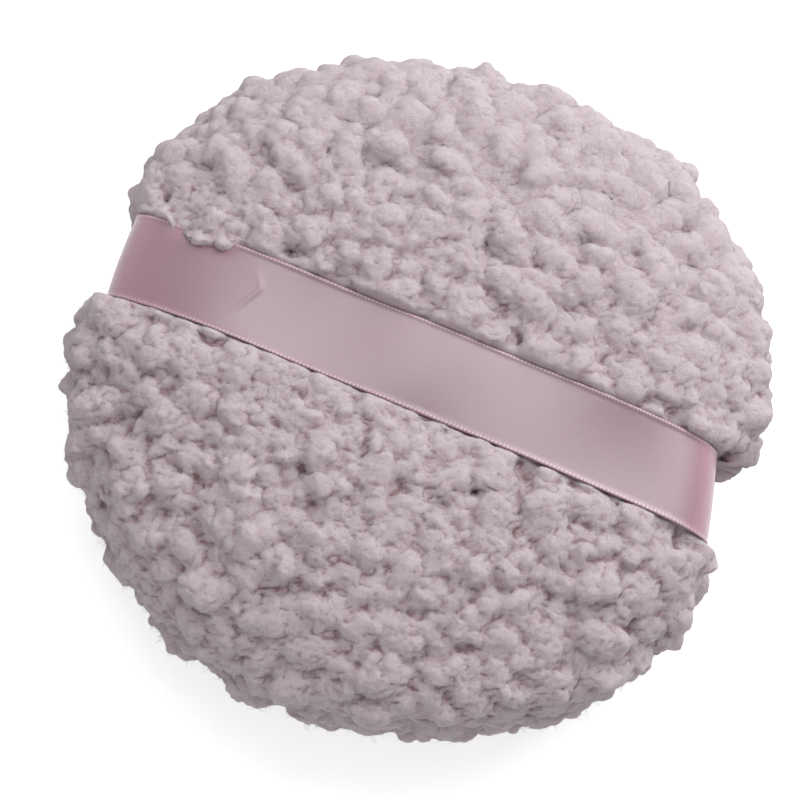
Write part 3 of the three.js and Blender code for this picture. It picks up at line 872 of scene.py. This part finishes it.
def overlock_thread(settings):
    """The overlock: a thread that winds round the allowances as a rounded box, loop by loop.

    Its section is (c, s) (c^4 + s^4)^(-1/4), and it leaves the turning gap free.
    """
    loop_steps, margin = 28, 0.06
    steps = settings.overlock_count * loop_steps
    phase = np.linspace(0, TURN * settings.overlock_count, steps)
    gap = 2 * closing_arc() + 2 * margin
    turn = QUARTER + gap / 2 + (TURN - gap) * np.linspace(0, 1, steps)
    height = (OVERLOCK_HIGH.z - OVERLOCK_LOW.z) / 2 - settings.thread / 2
    c, s = np.cos(phase), np.sin(phase)
    squared = (np.abs(c) ** 4 + np.abs(s) ** 4) ** -0.25
    radius = SEAM_EDGE + OVERLOCK_MIDDLE + OVERLOCK_HALF * c * squared
    return thread_along("overlock_thread", polar(radius, turn, height * s * squared),
                        polar(1, turn + QUARTER, 0), settings.thread)


def tack_thread(name, side, settings):
    """One ribbon tack: a zigzag of thread on the upper allowance."""
    turns, turn_steps = settings.tack_turns, 40
    span = TACK_HIGH.y - TACK_LOW.y - settings.thread
    inner, outer = TACK_LOW.x + settings.thread / 2, TACK_HIGH.x - settings.thread / 2
    index = np.arange(turns + 1)
    corners = np.stack([side * np.where(index % 2, outer, inner), (index / turns - 0.5) * span,
                        0 * index + (TACK_LOW.z + TACK_HIGH.z) / 2 - SEAM_Z], 1)
    path, _ = along_path(corners, turn_steps * turns)
    return thread_along(name, path, np.array([[0.0, 0.0, 1.0]]), settings.thread)


def closing_thread(settings):
    """The ladder stitches: runs along each cover in turn, with straight crossings between."""
    rungs, stitch_steps = settings.closing_count, 30
    index = np.arange(2 * rungs)
    turn = QUARTER + 2 * closing_arc() * (index // 2 / (rungs - 1) - 0.5)
    height = (CLOSING_HIGH.z - CLOSING_LOW.z) / 2 - settings.thread / 2
    height = np.where((index // 2 + index) % 2, height, -height)
    path, _ = along_path(np.stack([turn * CLOSING_RADIUS, height], 1), stitch_steps * len(index))
    turn = path[:, 0] / CLOSING_RADIUS
    return thread_along("closing_thread", polar(CLOSING_RADIUS, turn, path[:, 1]),
                        polar(1, turn, 0), settings.thread)


# Filling

LATHE_COLUMNS = 144


def cloth_rise(side):
    """How far a ground cloth rises from the seam."""
    return (CLOTH_HIGH.z - SEAM_Z) if side > 0 else (SEAM_Z - FOOT_CLOTH_LOW.z)


def ground_cloth(name, side, settings):
    """A knitted ground cloth: a thin dome that rolls in at its edge to the seam allowance."""
    rise, thick, floor = cloth_rise(side), settings.cloth_thickness, 0.15 * MM
    edge = dict(belt=3.4 * MM, tuck=1.8 * MM, square=0.8, steps=60)
    outer = section(CLOTH_RADIUS, rise, **edge) + (0, floor)
    outer[:, 1] = outer[:, 1].clip(0, rise)
    inner = section(CLOTH_RADIUS - thick, rise - thick, **edge)
    inner = inner[inner[:, 1] > floor + thick]
    path = np.concatenate([outer, [[SEAM_EDGE, floor], [SEAM_EDGE, floor + thick],
                                   [inner[-1, 0] - 0.4 * MM, floor + thick]], inner[::-1]])
    obj = lathe(name, path * (1, side) + (0, SEAM_Z), LATHE_COLUMNS)
    return obj, turned_area(np.concatenate([outer, [[SEAM_EDGE, floor]]]))[-1]


def foam_pad():
    """The foam disc: two domes, with a groove round the rim for the seam allowances."""
    radius = (FOAM_HIGH.x - FOAM_LOW.x) / 2
    rim, groove, blend = 2.3 * MM, SEAM_EDGE - 1.1 * MM, 0.5 * MM
    halves = []
    for rise, side in ((FOAM_HIGH.z - SEAM_Z, 1), (SEAM_Z - FOAM_LOW.z, -1)):
        dome = section(radius, rise, 3 * MM, 1.2 * MM, 0.8, 60)
        dome = dome[dome[:, 1] > rim]
        corner = [[dome[-1, 0] - blend, rim], [groove + blend, rim], [groove, rim - 0.4 * MM]]
        halves.append(np.concatenate([dome, corner]) * (1, side))
    path = np.concatenate([halves[0], halves[1][::-1]]) + (0, SEAM_Z)
    return lathe("foam_pad", path, LATHE_COLUMNS)


# Materials

def feed(tree, made, inputs):
    """Sets a node's inputs, by name or number, to values or to other nodes' outputs."""
    for key, value in inputs.items():
        if isinstance(value, bpy.types.NodeSocket):
            tree.links.new(value, made.inputs[key])
        else:
            made.inputs[key].default_value = value


def node(tree, kind, inputs, **settings):
    made = tree.nodes.new("ShaderNode" + kind)
    for key, value in settings.items():
        setattr(made, key, value)
    feed(tree, made, inputs)
    return made


def maths(tree, operation, *values, clamp=False):
    """The output of a Math node on numbers or other nodes' outputs."""
    return node(tree, "Math", dict(enumerate(values)), operation=operation,
                use_clamp=clamp).outputs[0]


def ranged(tree, value, low, high, share, kind="LINEAR"):
    """A value from low to high as 0 to share."""
    return node(tree, "MapRange", {"Value": value, "From Min": low, "From Max": high,
                                   "To Max": share}, interpolation_type=kind).outputs["Result"]


def material(name, roughness):
    """A new material, its node tree and its shader."""
    mat = bpy.data.materials.new(name)
    mat.use_nodes = True
    tree = mat.node_tree
    bsdf = tree.nodes["Principled BSDF"]
    feed(tree, bsdf, {"Roughness": roughness, "Specular IOR Level": 0.15})
    return mat, tree, bsdf


def new_group(name, inputs, result, kind):
    """A new node group with inputs of named kinds: its tree, its inputs and its result."""
    tree = bpy.data.node_groups.new(name, "ShaderNodeTree")
    for socket, socket_kind in inputs.items():
        tree.interface.new_socket(socket, in_out="INPUT", socket_type="NodeSocket" + socket_kind)
    tree.interface.new_socket(result, in_out="OUTPUT", socket_type="NodeSocket" + kind)
    given = tree.nodes.new("NodeGroupInput").outputs
    return tree, given, tree.nodes.new("NodeGroupOutput").inputs[result]


def fibre_group():
    """Node group of fuzzy fibre relief: two sizes of stirred noise, as one height from 0 to 1."""
    tree, given, height = new_group("fibre_relief", {"Vector": "Vector", "Size": "Float"},
                                    "Height", "Float")
    scale = maths(tree, "DIVIDE", 1.0, given["Size"])
    coarse, fine = [
        node(tree, "TexNoise", {"Vector": given["Vector"], "Scale": rate, "Detail": detail,
                                "Roughness": roughness, "Distortion": stir}).outputs["Fac"]
        for rate, detail, roughness, stir in (
            (scale, 4.0, 0.6, 1.1), (maths(tree, "MULTIPLY", scale, 3.3), 3.0, 0.7, 2.2))]
    mixed = maths(tree, "MULTIPLY_ADD", coarse, 0.55, maths(tree, "MULTIPLY", fine, 0.45))
    tree.links.new(mixed, height)
    return tree


def two_tone_group():
    """Node group that mixes a material's light and deep colours by a mask."""
    tree, given, result = new_group("two_tone", {"Light": "Color", "Deep": "Color",
                                                 "Mask": "Float"}, "Color", "Color")
    mix = node(tree, "Mix", {0: given["Mask"]}, data_type="RGBA")
    slots = [slot for slot in mix.inputs if slot.type == "RGBA"]
    for name, slot in zip(("Light", "Deep"), slots):
        tree.links.new(given[name], slot)
    tree.links.new(next(slot for slot in mix.outputs if slot.type == "RGBA"), result)
    return tree


def grouped(tree, name, build, inputs):
    """The output of a node group that all materials share, which is built at its first use."""
    return node(tree, "Group", inputs,
                node_tree=bpy.data.node_groups.get(name) or build()).outputs[0]


def fibres(tree, vector, size):
    return grouped(tree, "fibre_relief", fibre_group, {"Vector": vector, "Size": size})


def two_tone(tree, light, deep, mask):
    """A light and a deep colour mixed by a mask. Each is an (r, g, b) or an output."""
    light, deep = [c if isinstance(c, bpy.types.NodeSocket) else (*c, 1) for c in (light, deep)]
    return grouped(tree, "two_tone", two_tone_group, {"Light": light, "Deep": deep, "Mask": mask})


def bump(tree, height, distance, strength):
    return node(tree, "Bump", {"Height": height, "Distance": distance,
                               "Strength": strength}).outputs["Normal"]


def coat(tree, bsdf, colour, darkest, mask, height, distance, strength):
    """Gives a shader one colour, which a mask darkens down to a share, and a bump."""
    dark = [darkest * c for c in colour]
    feed(tree, bsdf, {"Base Color": two_tone(tree, colour, dark, mask),
                      "Normal": bump(tree, height, distance, strength)})


def attribute(tree, name):
    return node(tree, "Attribute", {}, attribute_name=name).outputs["Fac"]


def object_coordinates(tree):
    return node(tree, "TexCoord", {}).outputs["Object"]


def cloth_coordinates(tree):
    """The UV map in metres, and its X and Y."""
    uv = node(tree, "UVMap", {}, uv_map="cloth").outputs[0]
    split = node(tree, "SeparateXYZ", {0: uv})
    return uv, split.outputs["X"], split.outputs["Y"]


def pile_material(settings):
    """Matt curly pile with a fuzzy bump: pale on top, and darker and pinker in the gaps and
    creases as painted shade.
    """
    mat, tree, bsdf = material("curly_pile", 0.95)
    # The depth and crease masks paint shade into the gaps between curls and tufts; the fibre
    # mottle adds random tone
    shade_masks = [ranged(tree, attribute(tree, name), low, 0.95, share, "SMOOTHSTEP")
             for name, low, share in (("depth", 0.4, 0.75), ("crease", 0.5, 0.55))]
    fuzz = fibres(tree, object_coordinates(tree), 0.7 * MM)
    mottle = maths(tree, "MULTIPLY_ADD", fuzz, 2.0, -1.0)
    mask = maths(tree, "ADD", maths(tree, "ADD", *shade_masks), mottle, clamp=True)
    feed(tree, bsdf, {
        "Base Color": two_tone(tree, settings.curl_colour, settings.gap_shade_colour, mask),
        "Normal": bump(tree, fuzz, 1.2 * MM, 1.0),
        "Subsurface Weight": 0.55,
        "Subsurface Radius": (1.0, 0.75, 0.8),
        "Subsurface Scale": 1.8 * MM,
        "Specular IOR Level": 0.1,
        "Sheen Weight": 0.3,
        "Sheen Roughness": 0.6})
    return mat


def ribbon_material(settings):
    """Satin: a broad soft shine over fine threads, a colour that changes with the view angle as
    painted sheen, and paler loops along the woven edges.
    """
    mat, tree, bsdf = material("satin", 0.32)
    uv, along, _ = cloth_coordinates(tree)
    # Painted sheen: darker facing the camera, brighter and pinker at a slant
    facing = node(tree, "LayerWeight", {"Blend": 0.5}).outputs["Facing"]
    satin = two_tone(tree, settings.facing_sheen_colour, settings.slant_sheen_colour,
                     ranged(tree, facing, 0.03, 0.27, 1.0))
    wave = maths(tree, "COSINE", maths(tree, "MULTIPLY", along, math.pi / settings.loop_pitch))
    loops = maths(tree, "POWER", maths(tree, "ABSOLUTE", wave), 1.3)
    mask = maths(tree, "MULTIPLY", attribute(tree, "edge"), loops)
    tone = two_tone(tree, satin, settings.loop_colour, mask)
    drawn = node(tree, "Mapping", {"Vector": uv, "Scale": (1, 4.5, 1)}).outputs[0]
    threads = fibres(tree, drawn, 0.9 * MM)
    value = maths(tree, "MULTIPLY_ADD", threads, 0.35, 0.83)
    feed(tree, bsdf, {
        "Base Color": node(tree, "HueSaturation", {"Color": tone, "Value": value}).outputs[0],
        "Normal": bump(tree, threads, 0.05 * MM, 0.5),
        "Specular IOR Level": 0.5,
        "IOR": 1.9,
        "Sheen Weight": 0.25,
        "Sheen Roughness": 0.5,
        "Subsurface Weight": 0.4,
        "Subsurface Radius": (1.0, 0.6, 0.7),
        "Subsurface Scale": 0.5 * MM})
    return mat


def cloth_material(settings):
    """Knitted ground cloth, with a stitch relief sin(pi u / w) sin(2 pi v / w), and painted shade
    that darkens it where the relief dips.
    """
    mat, tree, bsdf = material("ground_knit", 0.9)
    _, u, v = cloth_coordinates(tree)
    stitches = maths(tree, "MULTIPLY", *[
        maths(tree, "SINE", maths(tree, "MULTIPLY", way, turn / settings.knit_pitch))
        for way, turn in ((u, math.pi), (v, TURN))])
    # Painted shade: darker where the stitch relief dips
    mask = maths(tree, "MULTIPLY_ADD", stitches, -0.5, 0.4, clamp=True)
    coat(tree, bsdf, settings.cloth_colour, 0.6, mask, stitches, 0.15 * MM, 0.8)
    return mat


def foam_material(settings):
    """Open-cell foam: cells as small pits, darkened with painted shade."""
    mat, tree, bsdf = material("foam", 1.0)
    cells = node(tree, "TexVoronoi", {"Vector": object_coordinates(tree),
                                      "Scale": 1 / settings.cell_size})
    pits = maths(tree, "SMOOTH_MIN", cells.outputs["Distance"], 0.6)
    # Painted shade: darker towards the cells' middles, where the pits dip
    mask = maths(tree, "SUBTRACT", 0.75, pits)
    coat(tree, bsdf, settings.foam_colour, 0.55, mask, pits, 0.3 * MM, 0.7)
    return mat


def thread_material(settings):
    """Spun sewing thread."""
    mat, tree, bsdf = material("sewing_thread", 0.6)
    fuzz = fibres(tree, object_coordinates(tree), 0.12 * MM)
    coat(tree, bsdf, settings.thread_colour, 0.7, fuzz, fuzz, 0.03 * MM, 0.6)
    return mat


def seen_rays(tree):
    """1 for camera, glossy and transmission rays, which see the white background."""
    path = node(tree, "LightPath", {}).outputs
    both = maths(tree, "MAXIMUM", path["Is Camera Ray"], path["Is Glossy Ray"])
    return maths(tree, "MAXIMUM", both, path["Is Transmission Ray"])


def floor_material(settings):
    """Matt ground that keeps the shadow, and is white to the camera where none falls."""
    mat, tree, bsdf = material("floor", 0.9)
    glow = 0.6
    feed(tree, bsdf, {"Base Color": (*settings.ground_colour, 1), "Specular IOR Level": 0,
                      "Emission Color": (1, 1, 1, 1),
                      "Emission Strength": maths(tree, "MULTIPLY", seen_rays(tree), glow)})
    return mat


# Operators

def finished(obj, mat, node_name, rides=True):
    """Gives a piece of the puff its material, and its body when it rides on the puff, and hides
    the construction part that it stands for.
    """
    if not obj.data.vertices:
        raise RuntimeError(f"{obj.name} came out empty")
    obj.data.materials.append(mat)
    if rides:
        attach(obj, "puff")
    if node_name:
        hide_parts(node_name)


class PUFF_OT_pile(bpy.types.Operator):
    """Grows the curly pile of both faces on a simulated padded body"""
    bl_idname = "puff.pile"
    bl_label = "Curly pile"

    def execute(self, context):
        settings = context.scene.puff_pile
        body = padded_body()
        mat = pile_material(settings)
        for side, shapes, name, node_name, seed in (
                (1, TOP_SHAPES, "top_curls", "top_pile", 3),
                (-1, FOOT_SHAPES, "foot_curls", "bottom_pile", 4)):
            cover = pile_cover(name, body, shapes, side, settings, seed)
            finished(cover, mat, node_name)
            strays = stray_fibres(name + "_strays", cover, settings.stray_count, seed + 10)
            finished(strays, mat, None)
        bpy.data.objects.remove(body)
        return {"FINISHED"}


class PUFF_OT_ribbon(bpy.types.Operator):
    """Lays the satin ribbon over the puff, with both ends in the seam"""
    bl_idname = "puff.ribbon"
    bl_label = "Satin ribbon"

    def execute(self, context):
        settings = context.scene.puff_ribbon
        ribbon, length = ribbon_mesh(settings)
        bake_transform(ribbon)
        finished(ribbon, ribbon_material(settings), "ribbon_strap", rides=False)
        return {"FINISHED"}


class PUFF_OT_filling(bpy.types.Operator):
    """Makes the two ground cloths and the foam disc inside"""
    bl_idname = "puff.filling"
    bl_label = "Ground cloths and foam"

    def execute(self, context):
        settings = context.scene.puff_filling
        mat = cloth_material(settings)
        for side, name, node_name in ((1, "top_ground_cloth", "top_cloth"),
                                      (-1, "foot_ground_cloth", "bottom_cloth")):
            cloth, area = ground_cloth(name, side, settings)
            finished(cloth, mat, node_name)
        foam = foam_pad()
        finished(foam, foam_material(settings), "foam_core")
        return {"FINISHED"}


class PUFF_OT_sewing(bpy.types.Operator):
    """Sews the overlock seam, the ribbon tacks and the closed turning gap"""
    bl_idname = "puff.sewing"
    bl_label = "Sewing"

    def execute(self, context):
        settings = context.scene.puff_sewing
        mat = thread_material(settings)
        for obj, node_name in (
                (overlock_thread(settings), "overlock_stitches"),
                (tack_thread("left_tack_thread", -1, settings), "left_ribbon_tack"),
                (tack_thread("right_tack_thread", 1, settings), "right_ribbon_tack"),
                (closing_thread(settings), "closing_stitches")):
            finished(obj, mat, node_name)
        return {"FINISHED"}


# Degrees from +X to the picture's right
PICTURE_TURN = 23


class PUFF_OT_stage(bpy.types.Operator):
    """Sets up the floor, the soft light and the camera"""
    bl_idname = "puff.stage"
    bl_label = "Stage"

    def execute(self, context):
        settings, scene = context.scene.puff_stage, context.scene
        scene.view_settings.view_transform = "Standard"
        reach, sunk_by = 3, 0.2 * MM
        corners = np.array([[-1, -1, 0], [1, -1, 0], [1, 1, 0], [-1, 1, 0]]) * reach
        floor = new_object("floor", corners - (0, 0, sunk_by), [[0, 1, 2, 3]], smooth=False)
        floor.data.materials.append(floor_material(settings))
        self.make_world(scene, settings)
        self.make_camera(scene)
        for name, power, size, bearing, elevation, distance in (
                ("soft_box", settings.key_power, 0.34, 42, 46, 0.42),
                ("top_light", settings.top_power, 0.14, 105, 74, 0.45),
                ("rim_light", settings.rim_power, 0.3, 245, 10, 0.42)):
            data = bpy.data.lights.new(name, "AREA")
            data.energy, data.size = power, size
            turn, rise = math.radians(PICTURE_TURN + bearing), math.radians(elevation)
            way = Vector(polar(math.cos(rise), turn, math.sin(rise)))
            self.placed(scene, name, data, way * distance, way)
        return {"FINISHED"}

    def placed(self, scene, name, data, location, back):
        """A camera or lamp that looks away from the direction back, along the shot."""
        obj = bpy.data.objects.new(name, data)
        scene.collection.objects.link(obj)
        obj.location = location
        obj.rotation_mode = "QUATERNION"
        obj.rotation_quaternion = back.to_track_quat("Z", "Y")
        return obj

    def make_world(self, scene, settings):
        """Even light from all round, which is white where it is seen."""
        scene.world = bpy.data.worlds.new("studio")
        scene.world.use_nodes = True
        tree = scene.world.node_tree
        white = (1, 1, 1, 1)
        sky = tree.nodes["Background"]
        feed(tree, sky, {"Color": white, "Strength": settings.sky_strength})
        shown = node(tree, "Background", {"Color": white})
        mix = node(tree, "MixShader", {0: seen_rays(tree), 1: sky.outputs[0],
                                       2: shown.outputs[0]})
        feed(tree, tree.nodes["World Output"], {"Surface": mix.outputs[0]})

    def make_camera(self, scene):
        """Looks down on the ribbon face, from the -Y side, with the ribbon falling right."""
        azimuth, elevation, distance = math.radians(PICTURE_TURN), math.radians(75), 0.38
        pixels_per_metre, frame_width, aim_left, aim_down = 7000, 800, 2.3, 0.9
        right = Vector((math.cos(azimuth), math.sin(azimuth), 0))
        back = Vector((math.sin(azimuth) * math.cos(elevation),
                       -math.cos(azimuth) * math.cos(elevation), math.sin(elevation)))
        data = bpy.data.cameras.new("camera")
        data.sensor_width = 36
        data.lens = pixels_per_metre * distance / frame_width * data.sensor_width
        data.clip_start = 0.01
        up = back.cross(right)
        aim = Vector((0, 0, SEAM_Z)) - right * aim_left * MM - up * aim_down * MM
        scene.camera = self.placed(scene, "camera", data, aim + back * distance, back)


OPERATORS = (PUFF_OT_pile, PUFF_OT_ribbon, PUFF_OT_filling, PUFF_OT_sewing, PUFF_OT_stage)
SETTINGS = {"puff_pile": PileSettings, "puff_ribbon": RibbonSettings,
            "puff_filling": FillingSettings, "puff_sewing": SewingSettings,
            "puff_stage": StageSettings}


class PUFF_PT_panel(bpy.types.Panel):
    """Settings and steps of the powder puff"""
    bl_idname = "PUFF_PT_panel"
    bl_label = "Curly powder puff"
    bl_space_type = "VIEW_3D"
    bl_region_type = "UI"
    bl_category = "Puff"

    def draw(self, context):
        for (name, group), operator in zip(SETTINGS.items(), OPERATORS):
            box = self.layout.box()
            for key in group.__annotations__:
                box.prop(getattr(context.scene, name), key)
            box.operator(operator.bl_idname)


def register():
    for cls in (*SETTINGS.values(), *OPERATORS, PUFF_PT_panel):
        bpy.utils.register_class(cls)
    for name, group in SETTINGS.items():
        setattr(bpy.types.Scene, name, PointerProperty(type=group))


def unregister():
    for name in SETTINGS:
        delattr(bpy.types.Scene, name)
    for cls in (PUFF_PT_panel, *reversed(OPERATORS), *SETTINGS.values()):
        bpy.utils.unregister_class(cls)


def main():
    register()
    bpy.ops.puff.pile()
    bpy.ops.puff.ribbon()
    bpy.ops.puff.filling()
    bpy.ops.puff.sewing()
    bpy.ops.puff.stage()


if __name__ == "__main__":
    main()
